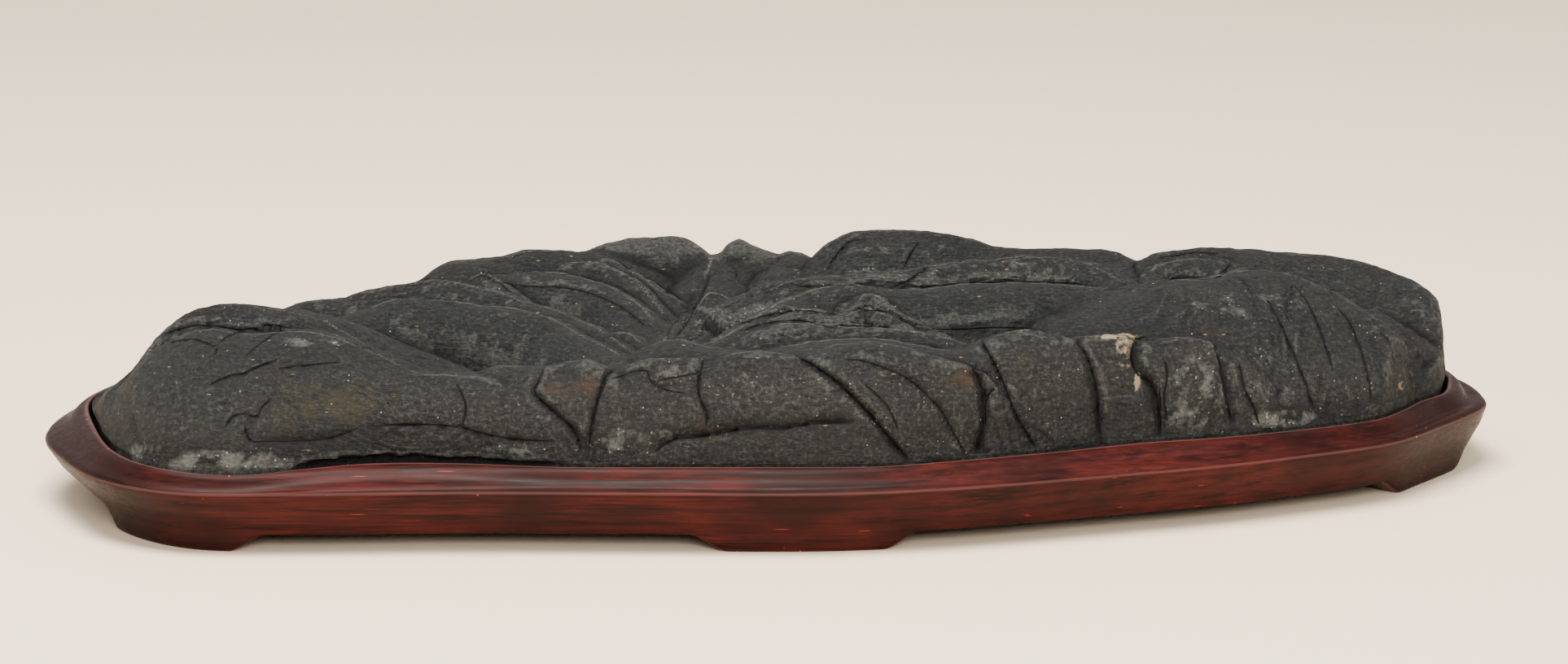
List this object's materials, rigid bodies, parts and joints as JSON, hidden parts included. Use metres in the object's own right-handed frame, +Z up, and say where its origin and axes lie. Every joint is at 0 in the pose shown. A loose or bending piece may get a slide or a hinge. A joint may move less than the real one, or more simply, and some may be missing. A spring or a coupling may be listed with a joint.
{
  "type": "scholars rock on a stand",
  "caption": "Low dark slate rock with mountain-like ridges, resting in the fitted recess of a carved rosewood stand with low feet.",
  "frame": {"origin": "middle of the bounding box in plan, on the surface that the feet stand on", "axes": "+X to the right along the stand as its front is seen, +Y from the front to the back, +Z up"},
  "size_m": [0.4812, 0.2211, 0.0703],
  "materials": {
    "slate": "matt, finely pitted, dark grey with paler crests",
    "rosewood": "oiled and polished, satin"
  },
  "bodies": {
    "root": {"stone": "slate", "stand": "rosewood"}
  },
  "joints": []
}
